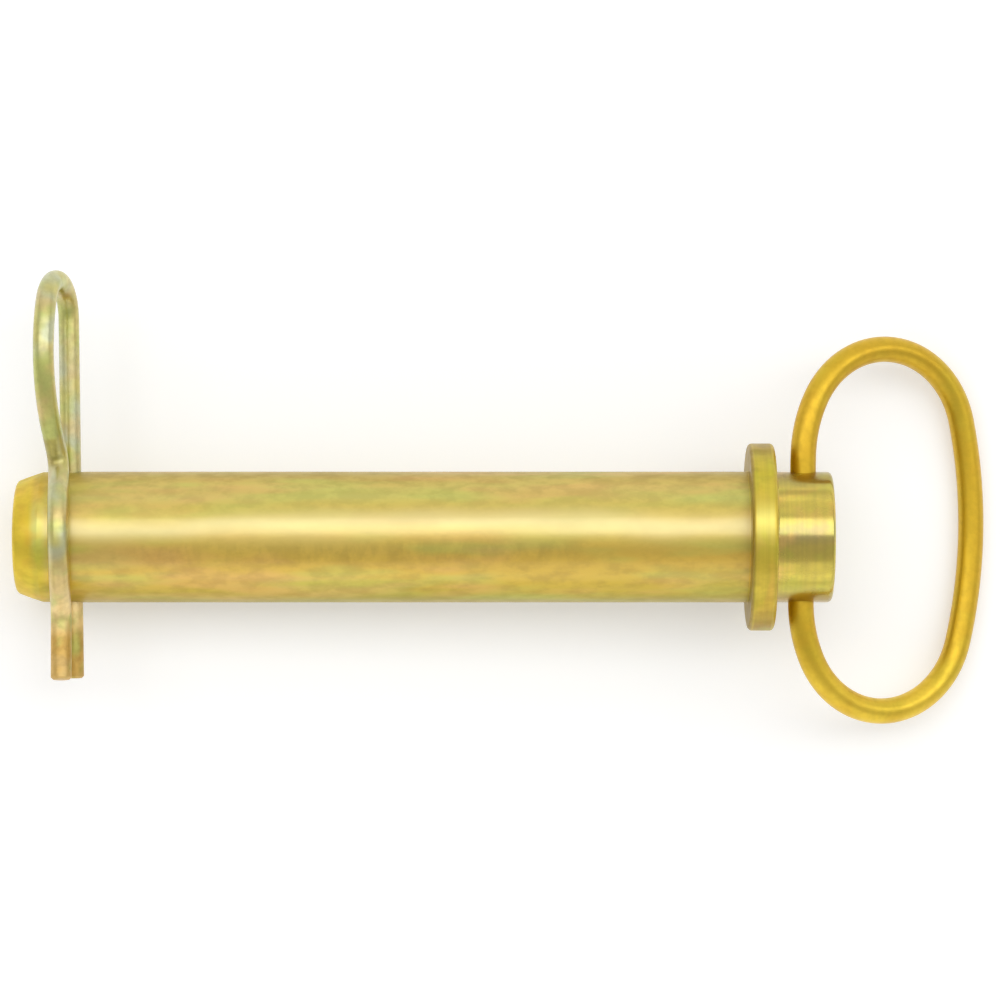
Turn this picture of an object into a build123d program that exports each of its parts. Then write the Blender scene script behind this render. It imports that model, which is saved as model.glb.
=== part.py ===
from build123d import *
from math import asin, atan, cos, radians, sin, tan
import os

# Hitch pin with a pull handle and a hairpin clip, lying on its side.
# Millimetres and degrees. The origin is on the pin's axis, at the centre of
# the collar's bearing face. The shank runs along -X to the tapered tip, the
# head boss and the handle are towards +X, both cross holes run along Y, and
# +Z is up.

# ---------------------------------------------------------------- pin body
PIN_D = 25.4  # bar diameter, the same on the shank and the head boss
GRIP_LENGTH = 127.0  # full-diameter length under the collar, 5 in
LEAD_LENGTH = 9.7  # eased stretch past the grip, where the clip hole is
LEAD_DROP = 0.10  # how far the ease takes the radius down
NOSE_LENGTH = 5.0
NOSE_END_D = 21.6
NOSE_CROWN_R = 60.0  # the taper is slightly crowned
NOSE_RIM_R = 1.1
COLLAR_D = 36.35
COLLAR_THICKNESS = 5.0
COLLAR_EDGE_R = 0.8
COLLAR_ROOT_R = 0.5  # where the boss leaves the collar
BOSS_LENGTH = 11.3
BOSS_RIM_R = 0.9

# ---------------------------------------------------------------- pull handle
HANDLE_WIRE_D = 5.0
HANDLE_HOLE_CLEARANCE = 0.35  # radial
HANDLE_HOLE_SETBACK = 5.7  # from the boss's end face to the hole's axis
LOOP_HEIGHT = 71.0  # between wire centres, along the hole
LOOP_REACH = 38.9  # from the hole's axis to the far side's wire centre
ARM_PAST_BAR = 1.3  # straight arm beyond the bar, with the loop centred
FLARE_TURN = 26.5  # gentle bend that leaves each arm
FAR_SIDE_TURN = 14.0  # half of the far side's shallow bow
LOOP_SHIFT = 1.65  # the loop has slid this far along its hole
LOOP_TILT_SHARE = 0.7  # share of the hole's play taken up by the loop's tilt
ARM_END_GAP = 3.0  # between the wire's two ends, inside the boss

# ---------------------------------------------------------------- hairpin clip
CLIP_WIRE_D = 4.0
CLIP_HOLE_PAST_GRIP = 4.2  # from the grip's end to the clip hole's axis
CLIP_HOLE_CLEARANCE = 0.4  # radial
CLIP_LEAN = 0.8  # the leg leans this much towards the tip in its hole
LEG_TAIL = 27.4  # from the hole's middle to the straight leg's end
HUG_CLEARANCE = 0.2  # between the outer strand's hump and the bar
HUG_ANGLE = 42.0  # the hump follows the bar this far each way
RAMP_LENGTH = 6.0  # straight run from the hump to the neck's corner
HUMP_SETBACK = 0.9  # the hump stands this far towards the tip
TAIL_SETBACK = 1.5  # so do the pinch and the tail, by this much
NECK_BEND_R = 4.0
PINCH_BEND_R = 5.0
TAIL_LENGTH = 13.0
TAIL_FLARE = 9.0
BOW_TURN = 12.2  # the bow's plane is turned this much about the leg
BOW_TOP_R = 7.25
BOW_FRONT_R = 25.7
BOW_FRONT_TILT = 22.5  # where the top bend runs into the front bend
BOW_SLANT = 34.0  # where the front bend ends in the run down to the neck

WIRE_END_CHAMFER = 0.4  # cropped ends of both wires

# ---------------------------------------------------------------- derived
pin_r = PIN_D / 2
shank_end_r = pin_r - LEAD_DROP
shank_end_x = -(GRIP_LENGTH + LEAD_LENGTH)
tip_x = shank_end_x - NOSE_LENGTH
boss_end_x = COLLAR_THICKNESS + BOSS_LENGTH
handle_x = boss_end_x - HANDLE_HOLE_SETBACK
clip_x = -(GRIP_LENGTH + CLIP_HOLE_PAST_GRIP)

os.makedirs("parts", exist_ok=True)


def ring_at(part, x, radius):
    """The part's circular edges of this radius, centred at this x on the pin's axis."""
    return part.edges().filter_by(
        lambda e: e.geom_type == GeomType.CIRCLE
        and abs(e.radius - radius) < 0.01
        and abs(e.arc_center.X - x) < 0.01
    )


# ---------------------------------------------------------------- pin body
# Bar, collar and head boss are one piece, turned all over.
with BuildPart() as pin_body:
    with BuildSketch(Plane.XY):
        with BuildLine():
            Line((tip_x, 0), (tip_x, NOSE_END_D / 2))
            RadiusArc((tip_x, NOSE_END_D / 2), (shank_end_x, shank_end_r), NOSE_CROWN_R)
            TangentArc((-GRIP_LENGTH, pin_r), (shank_end_x, shank_end_r), tangent=(-1, 0))
            Polyline(
                (-GRIP_LENGTH, pin_r),
                (0, pin_r),
                (0, COLLAR_D / 2),
                (COLLAR_THICKNESS, COLLAR_D / 2),
                (COLLAR_THICKNESS, pin_r),
                (boss_end_x, pin_r),
                (boss_end_x, 0),
                (tip_x, 0),
            )
        make_face()
    revolve(axis=Axis.X)

    fillet(ring_at(pin_body, tip_x, NOSE_END_D / 2), NOSE_RIM_R)
    fillet(ring_at(pin_body, boss_end_x, pin_r), BOSS_RIM_R)
    fillet(ring_at(pin_body, COLLAR_THICKNESS, pin_r), COLLAR_ROOT_R)
    fillet(ring_at(pin_body, 0, COLLAR_D / 2), COLLAR_EDGE_R)
    fillet(ring_at(pin_body, COLLAR_THICKNESS, COLLAR_D / 2), COLLAR_EDGE_R)

    with Locations(Plane((handle_x, COLLAR_D, 0), z_dir=(0, 1, 0))):
        Hole(HANDLE_WIRE_D / 2 + HANDLE_HOLE_CLEARANCE)
    with Locations(Plane((clip_x, COLLAR_D, 0), z_dir=(0, 1, 0))):
        Hole(CLIP_WIRE_D / 2 + CLIP_HOLE_CLEARANCE)

# ---------------------------------------------------------------- pull handle
# The loop goes arm, flare, corner, far side, corner, flare, arm. The radii of
# the flare and the corner are the pair that gives its height and its reach.
arm = pin_r + ARM_PAST_BAR
half_height = LOOP_HEIGHT / 2
flare = radians(FLARE_TURN)
far_bow = radians(FAR_SIDE_TURN)
rise = half_height - arm
run = LOOP_REACH - half_height * tan(far_bow / 2)
corner_run = 1 + cos(flare) - tan(far_bow / 2)
pair = corner_run * sin(flare) - (1 - cos(flare)) * (1 - sin(flare))
flare_r = (corner_run * rise - (1 - sin(flare)) * run) / pair
corner_r = (sin(flare) * run - (1 - cos(flare)) * rise) / pair
far_r = corner_r + (half_height - corner_r) / sin(far_bow)
corner_turn = 180 - FLARE_TURN - FAR_SIDE_TURN

# The pin lies on its collar and the start of its nose, and the loop hangs
# down until its far side lies on the same surface.
slope = atan((COLLAR_D / 2 - shank_end_r) / -shank_end_x)
axle_height = COLLAR_D / 2 * cos(slope) + handle_x * sin(slope)
droop = slope + asin((axle_height - HANDLE_WIRE_D / 2) / LOOP_REACH)
# The play in the hole also lets it tilt a little in its own plane.
loop_tilt = asin(LOOP_TILT_SHARE * HANDLE_HOLE_CLEARANCE / pin_r)
hinge = Plane(
    (handle_x, 0, 0),
    x_dir=(cos(droop) * cos(loop_tilt), -sin(loop_tilt), -sin(droop) * cos(loop_tilt)),
    z_dir=(sin(droop), 0, cos(droop)),
)
loop_plane = Plane(
    hinge.origin + hinge.y_dir * LOOP_SHIFT,
    x_dir=hinge.x_dir,
    z_dir=hinge.z_dir,
)

with BuildPart() as pull_handle:
    with BuildLine(loop_plane) as loop:
        upper_arm = Line((0, ARM_END_GAP / 2 - LOOP_SHIFT), (0, arm))
        end = JernArc(upper_arm @ 1, upper_arm % 1, flare_r, -FLARE_TURN)
        end = JernArc(end @ 1, end % 1, corner_r, -corner_turn)
        end = JernArc(end @ 1, end % 1, far_r, -2 * FAR_SIDE_TURN)
        end = JernArc(end @ 1, end % 1, corner_r, -corner_turn)
        end = JernArc(end @ 1, end % 1, flare_r, -FLARE_TURN)
        Line(end @ 1, (0, -ARM_END_GAP / 2 - LOOP_SHIFT))
    with BuildSketch(Plane(upper_arm @ 0, z_dir=upper_arm % 0)):
        Circle(HANDLE_WIRE_D / 2)
    sweep(path=loop.line)
    chamfer(pull_handle.faces().filter_by(GeomType.PLANE).edges(), WIRE_END_CHAMFER)

# ---------------------------------------------------------------- hairpin clip
# One wire. In the clip's frame X is towards the tip, Y is from the straight
# leg out to the other strand, and Z is up the leg.
lean = radians(CLIP_LEAN)
clip_frame = Plane(
    (clip_x, 0, 0),
    x_dir=(-cos(lean), -sin(lean), 0),
    z_dir=(-sin(lean), cos(lean), 0),
)

# The hump hugs the bar, and straight ramps leave it at both ends, up to the
# neck under the bow and down to the pinch above the flared tail.
hug_r = pin_r + CLIP_WIRE_D / 2 + HUG_CLEARANCE
hug = radians(HUG_ANGLE)
neck_out = hug_r * cos(hug) - RAMP_LENGTH * sin(hug)
neck_up = hug_r * sin(hug) + RAMP_LENGTH * cos(hug)
turn = radians(BOW_TURN)
neck = (neck_out * tan(turn), neck_out, neck_up)
hump = (HUMP_SETBACK, hug_r / cos(hug), 0)
pinch = (TAIL_SETBACK, neck_out, -neck_up)
tail_end = (
    TAIL_SETBACK,
    neck_out + TAIL_LENGTH * sin(radians(TAIL_FLARE)),
    -neck_up - TAIL_LENGTH * cos(radians(TAIL_FLARE)),
)

# The bow lies in a plane turned about the leg: top bend, front bend, and the
# slanted run that starts this far out and this high.
bow_plane = Plane(
    clip_frame.origin,
    x_dir=clip_frame.x_dir * sin(turn) + clip_frame.y_dir * cos(turn),
    z_dir=clip_frame.x_dir * cos(turn) - clip_frame.y_dir * sin(turn),
)
tilt = radians(BOW_FRONT_TILT)
slant = radians(BOW_SLANT)
slant_out = BOW_TOP_R * (1 + cos(tilt)) - BOW_FRONT_R * (cos(tilt) - cos(slant))
slant_up = neck_up + (slant_out - neck_out / cos(turn)) / tan(slant)
bow_up = slant_up + BOW_FRONT_R * (sin(slant) + sin(tilt)) - BOW_TOP_R * sin(tilt)

with BuildPart() as hairpin_clip:
    with BuildLine(bow_plane) as bow:
        leg = Line((0, -LEG_TAIL), (0, bow_up))
        top = JernArc(leg @ 1, leg % 1, BOW_TOP_R, BOW_FRONT_TILT - 180)
        front = JernArc(top @ 1, top % 1, BOW_FRONT_R, -BOW_FRONT_TILT - BOW_SLANT)
    with BuildLine(clip_frame) as grip:
        FilletPolyline(
            front @ 1,
            neck,
            hump,
            pinch,
            tail_end,
            radius=[NECK_BEND_R, hug_r, PINCH_BEND_R],
        )
    with BuildSketch(Plane(leg @ 0, z_dir=leg % 0)):
        Circle(CLIP_WIRE_D / 2)
    sweep(path=Wire(bow.edges() + grip.edges()))
    chamfer(hairpin_clip.faces().filter_by(GeomType.PLANE).edges(), WIRE_END_CHAMFER)

pin_body.part.label = "pin_body"
pull_handle.part.label = "pull_handle"
hairpin_clip.part.label = "hairpin_clip"
export_step(pin_body.part, "parts/pin_body.step")
export_step(pull_handle.part, "parts/pull_handle.step")
export_step(hairpin_clip.part, "parts/hairpin_clip.step")
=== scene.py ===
"""A collared hitch pin with its pull handle and hairpin clip, lying on a pale floor.

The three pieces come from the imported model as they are, and this script gives
each one its plating. It also makes the floor, the lamps and the camera.
Lengths are in metres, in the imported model's frame: the pin's axis is X, the
collar bears at x = 0, the tip is towards -X, and Z is up.
"""

import logging
import math
from dataclasses import dataclass, field
from enum import Enum

import bmesh
import bpy
from mathutils import Matrix, Vector

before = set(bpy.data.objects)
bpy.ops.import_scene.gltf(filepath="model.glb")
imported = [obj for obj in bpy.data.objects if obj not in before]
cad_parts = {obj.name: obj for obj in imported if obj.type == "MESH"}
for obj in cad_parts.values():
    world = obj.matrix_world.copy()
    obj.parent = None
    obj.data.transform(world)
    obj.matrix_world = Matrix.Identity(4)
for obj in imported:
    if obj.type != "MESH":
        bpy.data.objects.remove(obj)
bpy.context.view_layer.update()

FULL_TURN = 2 * math.pi

log = logging.getLogger("hitch_pin")

Socket = bpy.types.NodeSocket
Span = tuple[float, float]
Sizes = tuple[float, float, float]

COLOUR_MIX_INPUTS = (0, 6, 7)  # the Mix node's share, first and second colour
NUMBER_MIX_INPUTS = (0, 2, 3)  # its share, first and second number


class Piece(Enum):
    """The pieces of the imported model."""

    PIN_BODY = "pin_body"
    PULL_HANDLE = "pull_handle"
    HAIRPIN_CLIP = "hairpin_clip"


# ---------------------------------------------------------------- nodes


@dataclass(frozen=True)
class Tint:
    """A colour as a screen shows it, 0 to 255 in each channel."""

    red: int
    green: int
    blue: int

    def linear(self) -> tuple[float, float, float, float]:
        """Work out the colour in linear light, with full alpha.

        Returns:
            Red, green, blue and alpha.
        """
        channels = []
        for value in (self.red, self.green, self.blue):
            share = value / 255
            low = share / 12.92
            high = ((share + 0.055) / 1.055) ** 2.4
            channels.append(low if share <= 0.04045 else high)
        return (*channels, 1.0)


Bands = tuple[tuple[float, Tint], ...]  # places from 0 to 1 and their colours


class Bench:
    """A node tree, with short ways to add nodes and join them."""

    def __init__(self, tree: bpy.types.NodeTree) -> None:
        """Work on this tree."""
        self.tree = tree

    def node(self, kind: str, **settings: object) -> bpy.types.Node:
        """Add a node.

        Args:
            kind: The node's class name, without its ShaderNode start.
            settings: Properties to set on it.

        Returns:
            The new node.
        """
        made = self.tree.nodes.new(f"ShaderNode{kind}")
        for name, value in settings.items():
            setattr(made, name, value)
        return made

    def put(self, socket: Socket, value: object) -> None:
        """Join an input to another socket, or give it a plain value.

        Args:
            socket: The input to fill.
            value: A socket, a number, a vector or a Tint.
        """
        if isinstance(value, Socket):
            self.tree.links.new(value, socket)
        elif isinstance(value, Tint):
            socket.default_value = value.linear()
        else:
            socket.default_value = value

    def calc(self, operation: str, *values: object, clamp: bool = False) -> Socket:
        """Add a Math node.

        Args:
            operation: The node's operation.
            values: Its inputs, sockets or numbers.
            clamp: Whether the result stays within 0 and 1.

        Returns:
            The result.
        """
        made = self.node("Math", operation=operation, use_clamp=clamp)
        for socket, value in zip(made.inputs, values):
            self.put(socket, value)
        return made.outputs[0]

    def step(
        self, value: Socket, start: float, end: float, low: float = 0.0, high: float = 1.0
    ) -> Socket:
        """Turn a value smoothly from one level to another.

        Args:
            value: What is read.
            start: The value where the low level ends.
            end: The value where the high level is reached.
            low: The level before start.
            high: The level after end.

        Returns:
            The level.
        """
        made = self.node("MapRange", interpolation_type="SMOOTHSTEP")
        for socket, part in zip(made.inputs, (value, start, end, low, high)):
            self.put(socket, part)
        return made.outputs[0]

    def blend(self, share: object, first: object, second: object, mode: str = "MIX") -> Socket:
        """Mix two colours.

        Args:
            share: How much of the second shows.
            first: The first colour, a socket or a Tint.
            second: The second colour.
            mode: The blend mode.

        Returns:
            The mixed colour.
        """
        made = self.node("Mix", data_type="RGBA", blend_type=mode)
        for index, value in zip(COLOUR_MIX_INPUTS, (share, first, second)):
            self.put(made.inputs[index], value)
        return made.outputs[2]

    def level(self, share: object, first: object, second: object) -> Socket:
        """Mix two numbers.

        Args:
            share: How much of the second shows.
            first: The first number.
            second: The second number.

        Returns:
            The mixed number.
        """
        made = self.node("Mix", data_type="FLOAT")
        for index, value in zip(NUMBER_MIX_INPUTS, (share, first, second)):
            self.put(made.inputs[index], value)
        return made.outputs[0]

    def noise(self, place: Socket, detail: float = 2.0, rough: float = 0.5) -> Socket:
        """Add soft noise with features about one unit of place wide.

        Args:
            place: The stretched coordinates it reads.
            detail: How many finer layers it has.
            rough: How strong the finer layers are.

        Returns:
            The noise, about 0.5 on average.
        """
        made = self.node("TexNoise")
        self.put(made.inputs["Vector"], place)
        self.put(made.inputs["Scale"], 1.0)
        self.put(made.inputs["Detail"], detail)
        self.put(made.inputs["Roughness"], rough)
        return made.outputs[0]

    def shade(self, colour: object, depth: Socket) -> Socket:
        """Darken a colour by a depth from 0 to 1."""
        tone = self.calc("SUBTRACT", 1.0, depth)
        return self.blend(1.0, colour, tone, "MULTIPLY")

    def bump(
        self, height: Socket, distance: float, strength: float, under: Socket | None = None
    ) -> Socket:
        """Add a Bump node.

        Args:
            height: The relief.
            distance: How high its full range stands, in metres.
            strength: How much of it shows.
            under: The normal it lies on, if not the surface's own.

        Returns:
            The new normal.
        """
        made = self.node("Bump")
        self.put(made.inputs["Height"], height)
        self.put(made.inputs["Distance"], distance)
        self.put(made.inputs["Strength"], strength)
        if under is not None:
            self.put(made.inputs["Normal"], under)
        return made.outputs[0]

    def lines(self, place: Socket, per_metre: float, detail: float = 3.0) -> Socket:
        """Add noise that changes along one number only.

        Args:
            place: The number, a length in metres.
            per_metre: How many features a metre holds.
            detail: How many finer layers it has.

        Returns:
            The noise, about 0.5 on average.
        """
        made = self.node("TexNoise", noise_dimensions="1D")
        self.put(made.inputs["W"], place)
        self.put(made.inputs["Scale"], per_metre)
        self.put(made.inputs["Detail"], detail)
        return made.outputs[0]

    def stretch(self, place: Socket, sizes: Sizes, shift: float = 0.0) -> Socket:
        """Scale coordinates so that a pattern has these feature sizes.

        Args:
            place: Coordinates in metres.
            sizes: How long a feature is along each axis, in metres.
            shift: How far the pattern is moved, in features.

        Returns:
            The scaled coordinates.
        """
        made = self.node("Mapping")
        self.put(made.inputs["Vector"], place)
        made.inputs["Location"].default_value = (shift, shift, shift)
        made.inputs["Scale"].default_value = tuple(1 / size for size in sizes)
        return made.outputs[0]

    def ramp(self, value: Socket, stops: Bands) -> Socket:
        """Turn a number into a colour.

        Args:
            value: The number, from 0 to 1.
            stops: Each place on the ramp and its colour.

        Returns:
            The colour.
        """
        made = self.node("ValToRGB")
        made.color_ramp.interpolation = "B_SPLINE"
        elements = made.color_ramp.elements
        while len(elements) < len(stops):
            elements.new(0.5)
        for element, (place, tint) in zip(elements, stops):
            element.position = place
            element.color = tint.linear()
        self.put(made.inputs[0], value)
        return made.outputs[0]


class Effect:
    """A node group that more than one finish uses. It is built on first use."""

    name = "effect"
    takes: tuple[tuple[str, str], ...] = ()
    gives: tuple[tuple[str, str], ...] = ()

    def place(self, bench: Bench, **values: object) -> dict[str, Socket]:
        """Put the group in a material.

        Args:
            bench: The material's tree.
            values: What its inputs get, with spaces in their names written as _.

        Returns:
            Its outputs by name.
        """
        made = bench.node("Group")
        made.node_tree = bpy.data.node_groups.get(self.name) or self._build()
        for name, value in values.items():
            bench.put(made.inputs[name.replace("_", " ")], value)
        return {socket.name: socket for socket in made.outputs}

    def _build(self) -> bpy.types.NodeTree:
        """Make the group with its sockets and its inner nodes.

        Returns:
            The group's tree.
        """
        tree = bpy.data.node_groups.new(self.name, "ShaderNodeTree")
        for name, kind in self.takes:
            tree.interface.new_socket(name, in_out="INPUT", socket_type=f"NodeSocket{kind}")
        for name, kind in self.gives:
            tree.interface.new_socket(name, in_out="OUTPUT", socket_type=f"NodeSocket{kind}")
        entry = tree.nodes.new("NodeGroupInput")
        ending = tree.nodes.new("NodeGroupOutput")
        bench = Bench(tree)
        results = self._fill(bench, {socket.name: socket for socket in entry.outputs})
        for name, value in results.items():
            bench.put(ending.inputs[name], value)
        return tree

    def _fill(self, bench: Bench, given: dict[str, Socket]) -> dict[str, Socket]:
        """Make the inner nodes.

        Args:
            bench: The group's tree.
            given: Its inputs by name.

        Returns:
            What each output gets, by name.
        """
        raise NotImplementedError


class FilmPatches(Effect):
    """Green and pink patches of a chromate film over its ground colour."""

    name = "film_patches"
    takes = (
        ("Place", "Vector"),
        ("Ground", "Color"),
        ("Green", "Color"),
        ("Pink", "Color"),
        ("Green Share", "Float"),
        ("Pink Share", "Float"),
    )
    gives = (("Colour", "Color"),)
    green_edge: Span = (0.46, 0.66)  # noise levels where a patch starts and is full
    pink_edge: Span = (0.48, 0.70)
    pink_shift: Sizes = (7.3, 3.1, 5.7)  # keeps the pink patches apart from the green

    def _fill(self, bench: Bench, given: dict[str, Socket]) -> dict[str, Socket]:
        """Lay the green patches on the ground, and the pink ones on both.

        Args:
            bench: The group's tree.
            given: Its inputs by name.

        Returns:
            What each output gets, by name.
        """
        apart = bench.node("VectorMath", operation="ADD")
        bench.put(apart.inputs[0], given["Place"])
        bench.put(apart.inputs[1], self.pink_shift)
        green = bench.step(bench.noise(given["Place"]), *self.green_edge)
        pink = bench.step(bench.noise(apart.outputs[0]), *self.pink_edge)
        green = bench.calc("MULTIPLY", green, given["Green Share"])
        pink = bench.calc("MULTIPLY", pink, given["Pink Share"])
        colour = bench.blend(green, given["Ground"], given["Green"])
        return {"Colour": bench.blend(pink, colour, given["Pink"])}


class Mottle(Effect):
    """Small soft blotches that shade a colour and dull its gloss."""

    name = "mottle"
    takes = (("Place", "Vector"), ("Colour", "Color"), ("Depth", "Float"))
    gives = (("Colour", "Color"), ("Dullness", "Float"))
    edge: Span = (0.36, 0.66)  # noise levels where a blotch starts and is full

    def _fill(self, bench: Bench, given: dict[str, Socket]) -> dict[str, Socket]:
        """Shade the colour by noise, and give the same noise as dullness.

        Args:
            bench: The group's tree.
            given: Its inputs by name.

        Returns:
            What each output gets, by name.
        """
        cloud = bench.step(bench.noise(given["Place"], detail=3.0, rough=0.6), *self.edge)
        depth = bench.calc("MULTIPLY", cloud, given["Depth"])
        return {"Colour": bench.shade(given["Colour"], depth), "Dullness": depth}


FILM_PATCHES = FilmPatches()
MOTTLE = Mottle()


# ---------------------------------------------------------------- finishes


@dataclass(frozen=True)
class Lustre:
    """How a stretch of plating shines."""

    roughness: float
    coat: float


@dataclass(frozen=True)
class Film:
    """The green and pink patches on one stretch of plating."""

    green: Tint
    pink: Tint
    green_share: float  # how much of the green shows in a patch
    pink_share: float
    size: Sizes
    shift: float  # keeps one stretch's pattern apart from another's


@dataclass(frozen=True)
class PinSpot:
    """Where a point of the turned pin lies."""

    point: Socket
    along: Socket  # metres along the axis
    radius: Socket  # metres from the axis
    turn: Socket  # radians round the axis, 0 at the top, rising towards +Y


@dataclass(frozen=True)
class PinParts:
    """How far a point belongs to each stretch of the pin, 0 to 1."""

    nose: Socket
    collar: Socket
    boss: Socket
    ends: Socket  # the two flat end faces


@dataclass(frozen=True)
class PinPlating:
    """Yellow chromate on the turned pin, with its own look on each stretch.

    The bands give the film's colour round the pin, from the underside by the
    -Y side, the top and the +Y side back to the underside. Just past the top
    they hold a pale painted highlight, and towards the flanks darker painted shade.
    """

    name: str = "pin_plating"
    straw: Tint = Tint(185, 162, 60)
    # painted shade tint, darkening bands near the flanks
    olive: Tint = Tint(165, 155, 20)
    # painted shade tint, darkening the collar's and boss's rims
    painted_shade_umber: Tint = Tint(155, 120, 20)
    gold: Tint = Tint(212, 180, 58)
    amber: Tint = Tint(230, 190, 75)
    lime: Tint = Tint(212, 198, 55)
    # green film on the shank, and a painted highlight tint on the collar's top
    sage_film_and_highlight: Tint = Tint(210, 205, 105)
    rose: Tint = Tint(210, 180, 90)
    # painted highlight tint, for the bar's top where the highlight falls
    painted_highlight_cream: Tint = Tint(220, 208, 150)
    # painted highlight tint, for the boss's top
    painted_highlight_stone: Tint = Tint(155, 148, 110)
    # painted highlight tint, for the nose's top where it starts
    painted_highlight_mint: Tint = Tint(215, 220, 135)
    shank_bands: Bands = (
        (0.00, straw),
        (0.26, straw),
        # painted shade by the -Y flank
        (0.31, olive),
        (0.37, gold),
        (0.44, amber),
        (0.49, gold),
        # painted highlight
        (0.53, painted_highlight_cream),
        (0.57, gold),
        (0.61, sage_film_and_highlight),
        (0.66, rose),
        (0.71, straw),
        (1.00, straw),
    )
    boss_bands: Bands = (
        (0.00, straw),
        (0.26, straw),
        # painted shade at the -Y rim
        (0.31, painted_shade_umber),
        (0.36, lime),
        (0.48, gold),
        # painted highlight
        (0.52, painted_highlight_stone),
        (0.55, gold),
        (0.61, amber),
        # painted shade on these two stops, towards the +Y rim
        (0.65, olive),
        (0.69, painted_shade_umber),
        (0.74, straw),
        (1.00, straw),
    )
    collar_bands: Bands = (
        (0.00, straw),
        (0.26, straw),
        # painted shade at the -Y rim
        (0.30, painted_shade_umber),
        (0.38, gold),
        (0.43, amber),
        (0.48, gold),
        # painted highlight
        (0.53, sage_film_and_highlight),
        (0.57, gold),
        (0.63, lime),
        # painted shade at the +Y rim
        (0.70, painted_shade_umber),
        (0.74, straw),
        (1.00, straw),
    )
    nose_bands: Bands = (
        (0.00, straw),
        (0.36, gold),
        (0.45, lime),
        # painted highlight
        (0.53, painted_highlight_mint),
        (0.60, amber),
        (0.66, gold),
        (1.00, straw),
    )
    moss: Tint = Tint(196, 198, 44)
    nose: Tint = Tint(230, 200, 60)
    collar: Tint = Tint(206, 180, 60)
    boss: Tint = Tint(204, 184, 44)
    face: Tint = Tint(152, 124, 38)  # the collar's bearing face, darkened as painted shade
    shank_film: Film = Film(
        Tint(190, 200, 92), Tint(226, 176, 100), 0.42, 0.5, (0.028, 0.0058, 0.0058), 1.0
    )
    nose_film: Film = Film(moss, Tint(226, 180, 60), 0.25, 0.45, (0.005, 0.006, 0.006), 4.0)
    collar_film: Film = Film(moss, nose, 0.3, 0.3, (0.004, 0.009, 0.009), 6.0)
    boss_film: Film = Film(moss, Tint(240, 190, 96), 0.35, 0.7, (0.005, 0.005, 0.005), 3.0)
    shank_lustre: Lustre = Lustre(0.42, 0.60)
    nose_lustre: Lustre = Lustre(0.42, 0.25)
    collar_lustre: Lustre = Lustre(0.40, 0.30)
    boss_lustre: Lustre = Lustre(0.16, 0.70)
    side_coat: float = 0.25  # on the shank's flanks
    side_coat_edge: Span = (0.09, 0.17)  # shares of the turn from the top
    rim_coat: float = 0.35  # share left on the flanks of the nose, collar and boss
    rim_coat_edge: Span = (0.14, 0.20)
    coat_ior: float = 1.8
    coat_roughness: float = 0.2
    nose_start: float = -0.1345
    nose_gold_start: float = -0.1372
    nose_blend: float = 0.0014  # the gold comes in over this length
    collar_end: float = 0.005
    collar_inset: Span = (0.0005, 0.0010)  # where its faces give way to its barrel
    face_edge: Span = (0.0009, 0.0002)
    face_shade_share: float = 0.8
    pink_reach: Span = (0.0055, 0.0015)  # past the collar, where the boss turns pinker
    far_pink_share: float = 0.1  # on the boss beyond that
    bar_radius: float = 0.0127
    end_radius: float = 0.0112  # the two end faces are plain this far out
    painted_highlight_line: float = 0.528  # share of the turn where the painted highlight makes the bar palest
    highlight_calm_edge: Span = (0.012, 0.055)  # shares of the turn from the painted highlight line
    highlight_patch_life: float = 0.2  # how strong the patches are on the painted highlight line
    flank_edge: Span = (0.16, 0.24)
    flank_life: float = 0.55
    sway: float = 0.12  # radians that the shank's bands wander
    sway_size: Sizes = (0.045, 0.014, 0.014)
    mottle_size: Sizes = (0.0046, 0.0028, 0.0028)
    mottle_depth: float = 0.12
    cloud_size: Sizes = (0.030, 0.006, 0.006)
    cloud_depth: float = 0.04  # how far the roughness goes up and down
    ring_edge: Span = (0.36, 0.64)
    ring_depth: float = 0.07
    collar_rings: float = 1500.0  # to the metre
    boss_rings: float = 1100.0
    relief_rings: float = 2600.0
    relief_depth: float = 0.00001
    hatch_start: Span = (0.43, 0.46)  # shares of the turn
    hatch_end: Span = (0.50, 0.48)
    hatch_size: Sizes = (0.0022, 0.005, 0.005)
    hatch_reach: Sizes = (0.034, 0.020, 0.020)
    hatch_depth: float = 0.13
    drawn_size: Sizes = (0.020, 0.00045, 0.00045)
    wave_size: Sizes = (0.030, 0.0075, 0.0075)
    wave_depth: float = 0.00025
    wave_strength: float = 0.32

    def material(self) -> bpy.types.Material:
        """Build the material.

        Returns:
            The finished material.
        """
        material, bench, shader = new_metal(self.name)
        spot = self._spot(bench)
        parts = self._parts(bench, spot)
        share = self._round(bench, spot, self.sway)
        # the patches fade along the painted highlight, so that it stays pale
        away = bench.calc("ABSOLUTE", bench.calc("SUBTRACT", share, self.painted_highlight_line))
        lively = bench.step(away, *self.highlight_calm_edge, self.highlight_patch_life, 1.0)
        calm = bench.step(away, *self.flank_edge, 1.0, self.flank_life)
        lively = bench.calc("MULTIPLY", lively, calm)
        lively = bench.calc("MAXIMUM", lively, parts.ends)

        colour = self._shank_colour(bench, spot, share, lively)
        stretches = (
            (parts.nose, self._nose_colour(bench, spot)),
            (parts.collar, self._collar_colour(bench, spot)),
            (parts.boss, self._boss_colour(bench, spot, parts.ends)),
        )
        for part, other in stretches:
            colour = bench.blend(part, colour, other)
        mottled = MOTTLE.place(
            bench,
            Place=bench.stretch(spot.point, self.mottle_size, 2.0),
            Colour=colour,
            Depth=bench.calc("MULTIPLY", lively, self.mottle_depth),
        )
        bench.put(shader.inputs["Base Color"], mottled["Colour"])
        self._shine(bench, shader, spot, parts, mottled["Dullness"])
        self._relief(bench, shader, spot, parts)
        return material

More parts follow.
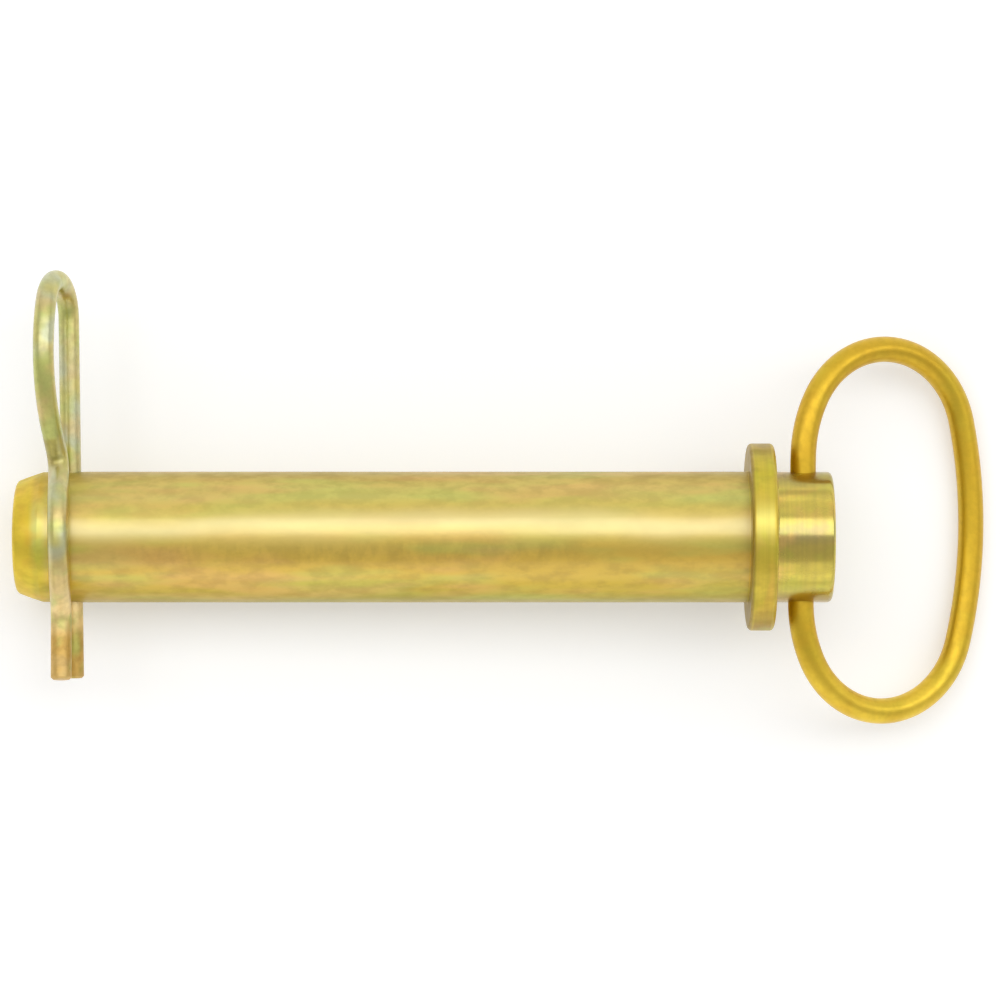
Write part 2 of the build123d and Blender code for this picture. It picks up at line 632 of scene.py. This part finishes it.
    def _spot(self, bench: Bench) -> PinSpot:
        """Read where a point lies.

        Args:
            bench: The material's tree.

        Returns:
            Its place along, out from and round the axis.
        """
        point = bench.node("TexCoord").outputs["Object"]
        parts = bench.node("SeparateXYZ")
        bench.put(parts.inputs[0], point)
        along, side, up = parts.outputs
        square = bench.calc("ADD", bench.calc("POWER", side, 2.0), bench.calc("POWER", up, 2.0))
        return PinSpot(
            point=point,
            along=along,
            radius=bench.calc("SQRT", square),
            turn=bench.calc("ARCTAN2", side, up),
        )

    def _parts(self, bench: Bench, spot: PinSpot) -> PinParts:
        """Tell the nose, the collar and the boss from the bar.

        Args:
            bench: The material's tree.
            spot: Where the point lies.

        Returns:
            The share of each.
        """
        outside = bench.step(spot.radius, self.bar_radius, self.bar_radius + 0.0006)
        collar = bench.calc("MULTIPLY", bench.step(spot.along, -0.0003, 0.0), outside)
        past = bench.step(spot.along, self.collar_end - 0.0002, self.collar_end + 0.0003)
        return PinParts(
            nose=bench.step(spot.along, self.nose_start + 0.0004, self.nose_start - 0.0018),
            collar=collar,
            boss=bench.calc("MULTIPLY", past, bench.calc("SUBTRACT", 1.0, collar)),
            ends=bench.step(spot.radius, self.end_radius + 0.001, self.end_radius),
        )

    def _round(self, bench: Bench, spot: PinSpot, sway: float = 0.0) -> Socket:
        """Measure how far round the axis a point lies.

        Args:
            bench: The material's tree.
            spot: Where the point lies.
            sway: How far the measure wanders along the bar, in radians.

        Returns:
            The share of a whole turn, 0.5 at the top.
        """
        turn = spot.turn
        if sway:
            waver = bench.noise(bench.stretch(spot.point, self.sway_size))
            turn = bench.calc("ADD", turn, bench.step(waver, 0.2, 0.8, -sway, sway))
        return bench.calc("ADD", bench.calc("DIVIDE", turn, FULL_TURN), 0.5)

    def _shank_colour(
        self, bench: Bench, spot: PinSpot, share: Socket, lively: Socket
    ) -> Socket:
        """Colour the bar in long wavering bands with patches on them, among them a painted highlight
        and painted shade.

        Args:
            bench: The material's tree.
            spot: Where the point lies.
            share: How far round the axis it lies.
            lively: How strong the patches are, 0 to 1.

        Returns:
            The colour.
        """
        film = self.shank_film
        ground = bench.ramp(share, self.shank_bands)
        green = bench.calc("MULTIPLY", lively, film.green_share)
        pink = bench.calc("MULTIPLY", lively, film.pink_share)
        colour = self._patched(bench, spot, film, ground, green, pink)
        return bench.shade(colour, self._hatch(bench, spot, share))

    def _patched(
        self,
        bench: Bench,
        spot: PinSpot,
        film: Film,
        ground: Socket,
        green: Socket | None = None,
        pink: Socket | None = None,
    ) -> Socket:
        """Lay a stretch's patches on its ground colour.

        Args:
            bench: The material's tree.
            spot: Where the point lies.
            film: The stretch's patches.
            ground: The colour under them.
            green: How much green shows, if it changes over the stretch.
            pink: How much pink shows, if it changes over the stretch.

        Returns:
            The colour.
        """
        return FILM_PATCHES.place(
            bench,
            Place=bench.stretch(spot.point, film.size, film.shift),
            Ground=ground,
            Green=film.green,
            Pink=film.pink,
            Green_Share=film.green_share if green is None else green,
            Pink_Share=film.pink_share if pink is None else pink,
        )["Colour"]

    def _hatch(self, bench: Bench, spot: PinSpot, share: Socket) -> Socket:
        """Lay soft dark strokes across the bar, just below its top towards -Y.

        Args:
            bench: The material's tree.
            spot: Where the point lies.
            share: How far round the axis it lies.

        Returns:
            How dark the strokes are, 0 to 1.
        """
        strokes = bench.noise(bench.stretch(spot.point, self.hatch_size, 8.0), 3.0)
        reach = bench.noise(bench.stretch(spot.point, self.hatch_reach, 11.0), 1.0)
        start = bench.step(share, *self.hatch_start)
        band = bench.calc("MULTIPLY", start, bench.step(share, *self.hatch_end))
        band = bench.calc("MULTIPLY", band, bench.step(reach, 0.40, 0.56))
        return bench.calc("MULTIPLY", band, bench.step(strokes, 0.36, 0.62, 0.0, self.hatch_depth))

    def _rings(self, bench: Bench, place: Socket, per_metre: float) -> Socket:
        """Give how dark the fine rings of the turning tool are, 0 to 1."""
        return bench.step(bench.lines(place, per_metre), *self.ring_edge, 0.0, self.ring_depth)

    def _nose_colour(self, bench: Bench, spot: PinSpot) -> Socket:
        """Colour the nose deep gold, greener and banded where it starts, with a painted highlight in
        the bands.

        Args:
            bench: The material's tree.
            spot: Where the point lies.

        Returns:
            The colour.
        """
        gold_end = self.nose_gold_start - self.nose_blend
        share = bench.step(spot.along, gold_end, self.nose_gold_start)
        bands = bench.ramp(self._round(bench, spot), self.nose_bands)
        ground = bench.blend(share, self.nose, bands)
        return self._patched(bench, spot, self.nose_film, ground)

    def _collar_colour(self, bench: Bench, spot: PinSpot) -> Socket:
        """Colour the collar an even golden olive, banded round its barrel with a painted highlight
        and painted rim shade, and browner on its bearing face as painted shade.

        Args:
            bench: The material's tree.
            spot: Where the point lies.

        Returns:
            The colour.
        """
        inner = bench.step(spot.along, *self.collar_inset)
        outer = bench.step(spot.along, *(self.collar_end - inset for inset in self.collar_inset))
        barrel = bench.calc("MULTIPLY", inner, outer)
        bands = bench.ramp(self._round(bench, spot), self.collar_bands)
        ground = bench.blend(barrel, self.collar, bands)
        colour = self._patched(bench, spot, self.collar_film, ground)
        ringed = bench.shade(colour, self._rings(bench, spot.along, self.collar_rings))
        # painted shade: darkens the collar's bearing face
        face_shade = bench.step(spot.along, *self.face_edge, 0.0, self.face_shade_share)
        return bench.blend(face_shade, ringed, self.face)

    def _boss_colour(self, bench: Bench, spot: PinSpot, end: Socket) -> Socket:
        """Colour the boss bright green gold, pinker by the collar, with a painted highlight on top
        and painted shade at its rims.

        Args:
            bench: The material's tree.
            spot: Where the point lies.
            end: How far the point belongs to the end face, 0 to 1.

        Returns:
            The colour.
        """
        bands = bench.ramp(self._round(bench, spot), self.boss_bands)
        film = self.boss_film
        reach = (self.collar_end + past for past in self.pink_reach)
        pink = bench.step(spot.along, *reach, self.far_pink_share, film.pink_share)
        ground = bench.blend(end, bands, self.boss)
        colour = self._patched(bench, spot, film, ground, pink=pink)
        return bench.shade(colour, self._rings(bench, spot.along, self.boss_rings))

    def _shine(
        self,
        bench: Bench,
        shader: bpy.types.Node,
        spot: PinSpot,
        parts: PinParts,
        dullness: Socket,
    ) -> None:
        """Give each stretch its gloss, with cloudy dull areas.

        Args:
            bench: The material's tree.
            shader: The Principled node.
            spot: Where the point lies.
            parts: The share of each stretch.
            dullness: What the mottling adds to the roughness.
        """
        rough = self.shank_lustre.roughness
        away = bench.calc("ABSOLUTE", bench.calc("SUBTRACT", self._round(bench, spot), 0.5))
        coat = bench.step(away, *self.side_coat_edge, self.shank_lustre.coat, self.side_coat)
        stretches = (
            (parts.nose, self.nose_lustre),
            (parts.collar, self.collar_lustre),
            (parts.boss, self.boss_lustre),
        )
        fade = bench.step(away, *self.rim_coat_edge, 1.0, self.rim_coat)
        for part, lustre in stretches:
            rough = bench.level(part, rough, lustre.roughness)
            coat = bench.level(part, coat, bench.calc("MULTIPLY", fade, lustre.coat))
        cloud = bench.noise(bench.stretch(spot.point, self.cloud_size, 9.0), 3.0)
        cloudy = bench.step(cloud, 0.3, 0.7, -self.cloud_depth, self.cloud_depth)
        rough = bench.calc("ADD", rough, cloudy)
        bench.put(shader.inputs["Roughness"], bench.calc("ADD", rough, dullness, clamp=True))
        bench.put(shader.inputs["Coat Weight"], coat)
        shader.inputs["Coat IOR"].default_value = self.coat_ior
        shader.inputs["Coat Roughness"].default_value = self.coat_roughness

    def _relief(
        self, bench: Bench, shader: bpy.types.Node, spot: PinSpot, parts: PinParts
    ) -> None:
        """Give the shank fine lines along its axis, and the rest turned rings.

        Args:
            bench: The material's tree.
            shader: The Principled node.
            spot: Where the point lies.
            parts: The share of each stretch.
        """
        drawn = bench.noise(bench.stretch(spot.point, self.drawn_size), 3.0)
        rings = bench.lines(bench.calc("ADD", spot.along, spot.radius), self.relief_rings)
        turned = bench.calc("MAXIMUM", bench.calc("MAXIMUM", parts.nose, parts.collar), parts.boss)
        fine = bench.bump(bench.level(turned, drawn, rings), self.relief_depth, 0.5)
        waves = bench.noise(bench.stretch(spot.point, self.wave_size, 5.0))
        broad = bench.bump(waves, self.wave_depth, self.wave_strength, fine)
        bench.put(shader.inputs["Normal"], broad)


@dataclass(frozen=True)
class WirePlating:
    """Yellow chromate on bent wire."""

    name: str
    ground: Tint
    green: Tint
    pink: Tint
    green_share: float
    pink_share: float
    patch: float
    mottle_depth: float
    roughness: float
    coat: float
    coat_ior: float
    coat_roughness: float
    mottle_size: float = 0.0016
    grain_size: float = 0.0012
    grain_depth: float = 0.00003

    def material(self) -> bpy.types.Material:
        """Build the material.

        Returns:
            The finished material.
        """
        material, bench, shader = new_metal(self.name)
        point = bench.node("TexCoord").outputs["Object"]
        parts = bench.node("SeparateXYZ")
        bench.put(parts.inputs[0], point)
        along, across, _ = parts.outputs
        film = FILM_PATCHES.place(
            bench,
            Place=bench.stretch(point, (self.patch,) * 3, 3.0),
            Ground=self._ground(bench, point, along, across),
            Green=self.green,
            Pink=self.pink,
            Green_Share=self.green_share,
            Pink_Share=self.pink_share,
        )
        mottled = MOTTLE.place(
            bench,
            Place=bench.stretch(point, (self.mottle_size,) * 3, 5.0),
            Colour=film["Colour"],
            Depth=self.mottle_depth,
        )
        bench.put(shader.inputs["Base Color"], mottled["Colour"])
        rough = bench.calc("ADD", self._roughness(bench, across), mottled["Dullness"], clamp=True)
        bench.put(shader.inputs["Roughness"], rough)
        bench.put(shader.inputs["Coat Weight"], self._coat(bench, across))
        shader.inputs["Coat IOR"].default_value = self.coat_ior
        shader.inputs["Coat Roughness"].default_value = self.coat_roughness
        grain = bench.noise(bench.stretch(point, (self.grain_size,) * 3), 3.0)
        bench.put(shader.inputs["Normal"], bench.bump(grain, self.grain_depth, 0.5))
        return material

    def _ground(
        self, bench: Bench, point: Socket, along: Socket, across: Socket
    ) -> Tint | Socket:
        """Give the film's main colour at a point."""
        return self.ground

    def _roughness(self, bench: Bench, across: Socket) -> float | Socket:
        """Give the roughness before mottling."""
        return self.roughness

    def _coat(self, bench: Bench, across: Socket) -> float | Socket:
        """Give how much of the glossy coat shows."""
        return self.coat


@dataclass(frozen=True)
class HandlePlating(WirePlating):
    """The pull handle's plating, deep gold, with the two bows painted paler as a highlight."""

    # painted highlight on the two bows
    painted_highlight_bow: Tint = Tint(234, 200, 66)
    middle: float = 0.0074  # the loop's middle, towards +Y
    bow_highlight_edge: Span = (0.026, 0.041)  # metres from the middle, where the bows' painted highlight comes in

    def _ground(
        self, bench: Bench, point: Socket, along: Socket, across: Socket
    ) -> Tint | Socket:
        """Blend from the sides' colour to the bows' painted highlight."""
        away = bench.calc("ABSOLUTE", bench.calc("SUBTRACT", across, self.middle))
        return bench.blend(bench.step(away, *self.bow_highlight_edge), self.ground, self.painted_highlight_bow)


@dataclass(frozen=True)
class ClipPlating(WirePlating):
    """The clip's plating, pale, with grey patches, painted shade on the crook, a painted highlight at
    the knee and a duller brown gold tail.

    The spans run along Y, in metres, from where a colour starts to where it is full.
    """

    grey: Tint = Tint(186, 194, 168)
    # painted shade tint for the crook
    olive: Tint = Tint(164, 152, 60)
    rose: Tint = Tint(222, 192, 120)
    # painted highlight at the knee
    knee: Tint = Tint(244, 216, 150)
    tail: Tint = Tint(208, 170, 90)
    tail_dullness: float = 0.16
    tail_coat: float = 0.12
    grey_patch: float = 0.006
    # where the crook's painted shade lies
    crook_start: Span = (0.0125, 0.0145)
    crook_end: Span = (0.0245, 0.0195)
    crook_side: Span = (-0.1322, -0.1332)  # along X instead
    rose_edge: Span = (-0.001, -0.007)
    knee_highlight_edge: Span = (-0.010, -0.014)
    tail_edge: Span = (-0.016, -0.020)
    dull_edge: Span = (-0.011, -0.017)

    def _ground(
        self, bench: Bench, point: Socket, along: Socket, across: Socket
    ) -> Tint | Socket:
        """Lay grey patches, and olive painted shade on the crook, on the main colour.

        Past the hump it turns to rose, pale at the knee as a painted highlight, and brown gold on the
        tail.

        Args:
            bench: The material's tree.
            point: Where the point lies.
            along: How far it lies towards +X.
            across: How far it lies towards +Y.

        Returns:
            The colour.
        """
        patches = bench.noise(bench.stretch(point, (self.grey_patch,) * 3, 13.0), 1.0)
        main = bench.blend(bench.step(patches, 0.42, 0.68, 0.0, 0.7), self.ground, self.grey)
        # painted shade: the crook is darkened to olive
        above = bench.step(across, *self.crook_start)
        below = bench.step(across, *self.crook_end)
        outer = bench.step(along, *self.crook_side, 0.0, 0.9)
        crook = bench.calc("MULTIPLY", bench.calc("MULTIPLY", above, below), outer)
        main = bench.blend(crook, main, self.olive)
        main = bench.blend(bench.step(across, *self.rose_edge, 0.0, 0.75), main, self.rose)
        # painted highlight at the knee
        main = bench.blend(bench.step(across, *self.knee_highlight_edge), main, self.knee)
        return bench.blend(bench.step(across, *self.tail_edge), main, self.tail)

    def _roughness(self, bench: Bench, across: Socket) -> float | Socket:
        """Make the tail rougher than the rest."""
        dull = self.roughness + self.tail_dullness
        return bench.step(across, *self.dull_edge, self.roughness, dull)

    def _coat(self, bench: Bench, across: Socket) -> float | Socket:
        """Let the coat fade on the tail."""
        return bench.step(across, *self.dull_edge, self.coat, self.tail_coat)


HANDLE_PLATING = HandlePlating(
    name="handle_plating",
    ground=Tint(212, 174, 48),
    green=Tint(208, 182, 54),
    pink=Tint(212, 166, 46),
    green_share=0.5,
    pink_share=0.4,
    patch=0.008,
    mottle_depth=0.07,
    roughness=0.38,
    coat=0.15,
    coat_ior=1.6,
    coat_roughness=0.3,
)
CLIP_PLATING = ClipPlating(
    name="clip_plating",
    ground=Tint(202, 192, 108),
    green=Tint(184, 192, 104),
    pink=Tint(214, 184, 122),
    green_share=0.7,
    pink_share=0.6,
    patch=0.006,
    mottle_depth=0.10,
    roughness=0.34,
    coat=0.5,
    coat_ior=1.8,
    coat_roughness=0.2,
)


def new_metal(name: str) -> tuple[bpy.types.Material, Bench, bpy.types.Node]:
    """Start a metal material.

    Args:
        name: The material's name.

    Returns:
        The material, its bench and its Principled node.
    """
    material = bpy.data.materials.new(name)
    material.use_nodes = True
    shader = material.node_tree.nodes["Principled BSDF"]
    shader.inputs["Metallic"].default_value = 1.0
    return material, Bench(material.node_tree), shader


# ---------------------------------------------------------------- pieces


@dataclass
class HitchPin:
    """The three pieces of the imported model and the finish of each."""

    body_finish: PinPlating = PinPlating()
    handle_finish: WirePlating = HANDLE_PLATING
    clip_finish: WirePlating = CLIP_PLATING

    def dress(self) -> None:
        """Give every piece its finish."""
        finishes = {
            Piece.PIN_BODY: self.body_finish,
            Piece.PULL_HANDLE: self.handle_finish,
            Piece.HAIRPIN_CLIP: self.clip_finish,
        }
        for piece, finish in finishes.items():
            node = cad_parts[piece.value]
            material = finish.material()
            for slot in node.material_slots:
                slot.material = material
            log.info("%s: %s on %d faces", piece.value, finish.name, len(node.data.polygons))


# ---------------------------------------------------------------- studio


@dataclass
class Cove:
    """A pale floor that curves up into a wall all round.

    The pin's axis is level in the frame, and it rests on its collar and its
    nose, so the floor slopes a little under it.
    """

    touch: Vector = field(default_factory=lambda: Vector((0.0, 0.0, -0.018175)))
    slope: float = math.radians(2.335)
    flat_radius: float = 2.2
    bend_radius: float = 0.9
    wall_height: float = 0.5
    bend_steps: int = 12
    sides: int = 96
    albedo: Tint = Tint(237, 237, 237)
    glow: float = 0.27

    def build(self) -> bpy.types.Object:
        """Make the floor.

        Returns:
            The floor object.
        """
        mesh = bmesh.new()
        profile = [Vector((0, 0, 0)), Vector((self.flat_radius, 0, 0))]
        for step in range(1, self.bend_steps + 1):
            turn = math.pi / 2 * step / self.bend_steps
            out = self.flat_radius + self.bend_radius * math.sin(turn)
            profile.append(Vector((out, 0, self.bend_radius * (1 - math.cos(turn)))))
        profile.append(profile[-1] + Vector((0, 0, self.wall_height)))
        points = [mesh.verts.new(place) for place in profile]
        edges = [mesh.edges.new(pair) for pair in zip(points, points[1:])]
        bmesh.ops.spin(
            mesh,
            geom=points + edges,
            cent=(0, 0, 0),
            axis=(0, 0, 1),
            angle=FULL_TURN,
            steps=self.sides,
            use_merge=True,
        )
        bmesh.ops.remove_doubles(mesh, verts=mesh.verts, dist=1e-5)
        bmesh.ops.recalc_face_normals(mesh, faces=mesh.faces)
        if sum(face.normal.z for face in mesh.faces) < 0:
            bmesh.ops.reverse_faces(mesh, faces=mesh.faces)
        place = Matrix.Translation(self.touch) @ Matrix.Rotation(self.slope, 4, "Y")
        bmesh.ops.transform(mesh, matrix=place, verts=mesh.verts)
        data = bpy.data.meshes.new("floor")
        mesh.to_mesh(data)
        mesh.free()
        data.shade_smooth()
        data.materials.append(self._material())
        floor = bpy.data.objects.new("floor", data)
        bpy.context.scene.collection.objects.link(floor)
        return floor

    def _material(self) -> bpy.types.Material:
        """Make the pale paint, lifted to white, and clear from underneath.

        Returns:
            The material.
        """
        material = bpy.data.materials.new("floor_paint")
        material.use_nodes = True
        bench = Bench(material.node_tree)
        material.node_tree.nodes.remove(material.node_tree.nodes["Principled BSDF"])
        paint = bench.node("BsdfDiffuse")
        bench.put(paint.inputs["Color"], self.albedo)
        rays = bench.node("LightPath")
        seen = bench.calc(
            "MAXIMUM",
            rays.outputs["Is Camera Ray"],
            bench.calc("MAXIMUM", rays.outputs["Is Glossy Ray"], rays.outputs["Is Transmission Ray"]),
        )
        glow = bench.node("Emission")
        bench.put(glow.inputs["Strength"], bench.calc("MULTIPLY", seen, self.glow))
        lit = bench.node("AddShader")
        bench.put(lit.inputs[0], paint.outputs[0])
        bench.put(lit.inputs[1], glow.outputs[0])
        clear = bench.node("BsdfTransparent")
        side = bench.node("MixShader")
        bench.put(side.inputs[0], bench.node("NewGeometry").outputs["Backfacing"])
        bench.put(side.inputs[1], lit.outputs[0])
        bench.put(side.inputs[2], clear.outputs[0])
        ending = material.node_tree.nodes["Material Output"]
        bench.put(ending.inputs["Surface"], side.outputs[0])
        return material


@dataclass(frozen=True)
class Softbox:
    """A soft rectangular lamp that faces the pin."""

    name: str
    lean: float  # degrees from straight above, towards +Y
    swing: float  # degrees from straight above, towards +X
    distance: float
    length: float  # along X
    width: float
    radiance: float

    def build(self, target: Vector) -> bpy.types.Object:
        """Make the lamp.

        Args:
            target: What it faces.

        Returns:
            The lamp object.
        """
        data = bpy.data.lights.new(self.name, "AREA")
        data.shape = "RECTANGLE"
        data.size = self.length
        data.size_y = self.width
        data.energy = self.radiance * math.pi * self.length * self.width
        lamp = bpy.data.objects.new(self.name, data)
        bpy.context.scene.collection.objects.link(lamp)
        swung = Matrix.Rotation(math.radians(self.swing), 3, "Y")
        away = swung @ Matrix.Rotation(-math.radians(self.lean), 3, "X")
        place = target + away @ Vector((0, 0, self.distance))
        lamp.matrix_world = Matrix.Translation(place) @ away.to_4x4()
        lamp.visible_camera = False
        return lamp


@dataclass
class Studio:
    """The floor, the lamps, the surrounding light and the camera."""

    target: Vector = field(default_factory=lambda: Vector((-0.05, 0.0, 0.0)))
    surround: float = 0.554
    softboxes: tuple[Softbox, ...] = (
        Softbox("key", lean=19, swing=8, distance=1.3, length=3.6, width=0.66, radiance=1.62),
        Softbox("back_fill", lean=60, swing=0, distance=1.5, length=2.6, width=1.1, radiance=0.37),
        Softbox("front_fill", lean=-64, swing=0, distance=1.5, length=2.6, width=1.1, radiance=0.48),
    )
    eye: Vector = field(default_factory=lambda: Vector((-0.04804, 0.00719, 0.8156)))
    view_angle: float = math.radians(13.58)
    sensor: float = 36.0  # millimetres

    def build(self) -> None:
        """Make everything round the pin."""
        Cove().build()
        for softbox in self.softboxes:
            softbox.build(self.target)
        self._surround()
        self._camera()
        bpy.context.scene.view_settings.view_transform = "Standard"
        log.info("studio: floor, %d lamps and the camera", len(self.softboxes))

    def _surround(self) -> None:
        """Fill the room with even light."""
        world = bpy.data.worlds.new("surround")
        world.use_nodes = True
        background = world.node_tree.nodes["Background"]
        background.inputs["Color"].default_value = (1, 1, 1, 1)
        background.inputs["Strength"].default_value = self.surround
        bpy.context.scene.world = world

    def _camera(self) -> None:
        """Look straight down on the pin."""
        data = bpy.data.cameras.new("camera")
        data.sensor_width = self.sensor
        data.lens = self.sensor / 2 / math.tan(self.view_angle / 2)
        camera = bpy.data.objects.new("camera", data)
        camera.location = self.eye
        bpy.context.scene.collection.objects.link(camera)
        bpy.context.scene.camera = camera


def write_sizes() -> None:
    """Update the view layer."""
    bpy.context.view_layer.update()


def main() -> None:
    """Dress the pin and set up the studio."""
    logging.basicConfig(level=logging.INFO)
    HitchPin().dress()
    Studio().build()
    write_sizes()


if __name__ == "__main__":
    main()
